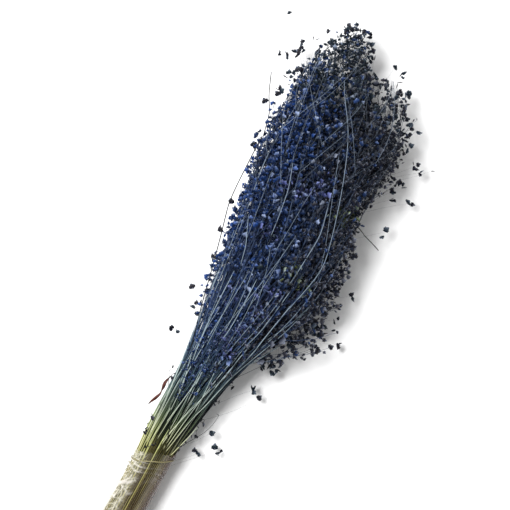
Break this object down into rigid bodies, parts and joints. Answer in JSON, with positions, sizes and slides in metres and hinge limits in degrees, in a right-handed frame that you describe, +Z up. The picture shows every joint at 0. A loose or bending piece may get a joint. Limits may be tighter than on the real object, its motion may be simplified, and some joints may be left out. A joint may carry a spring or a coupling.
{
  "type": "bunch of dried quaking grass",
  "caption": "Lying bunch of blue-dyed dried quaking grass: loose panicles of small spikelets on thin stems, pressed together at the neck in a clear film sleeve with a band.",
  "frame": {"origin": "bottom centre of the bounding box, on the surface the bunch lies on", "axes": "+Z up, +Y from the cut ends to the tips, +X across the bunch"},
  "size_m": [0.1792, 0.5448, 0.0711],
  "materials": {
    "dyed_grass": "matt, dry",
    "clear_film": "crinkled, glossy",
    "pale_elastic": "satin",
    "dry_leaf": "matt"
  },
  "bodies": {
    "root": {"grass_tuft_01": "dyed_grass", "grass_tuft_02": "dyed_grass", "grass_tuft_03": "dyed_grass", "grass_tuft_04": "dyed_grass", "grass_tuft_05": "dyed_grass", "grass_tuft_06": "dyed_grass", "grass_tuft_07": "dyed_grass", "grass_tuft_08": "dyed_grass", "grass_tuft_09": "dyed_grass", "grass_tuft_10": "dyed_grass", "grass_tuft_11": "dyed_grass", "grass_tuft_12": "dyed_grass", "grass_tuft_13": "dyed_grass", "grass_tuft_14": "dyed_grass", "grass_tuft_15": "dyed_grass", "grass_tuft_16": "dyed_grass", "grass_tuft_17": "dyed_grass", "grass_tuft_18": "dyed_grass", "grass_tuft_19": "dyed_grass", "grass_tuft_20": "dyed_grass", "grass_tuft_21": "dyed_grass", "grass_tuft_22": "dyed_grass", "grass_tuft_23": "dyed_grass", "grass_tuft_24": "dyed_grass", "grass_tuft_25": "dyed_grass", "grass_tuft_26": "dyed_grass", "grass_tuft_27": "dyed_grass", "grass_tuft_28": "dyed_grass", "film_sleeve": "clear_film", "neck_band": "pale_elastic", "dry_leaf": "dry_leaf"}
  },
  "joints": []
}
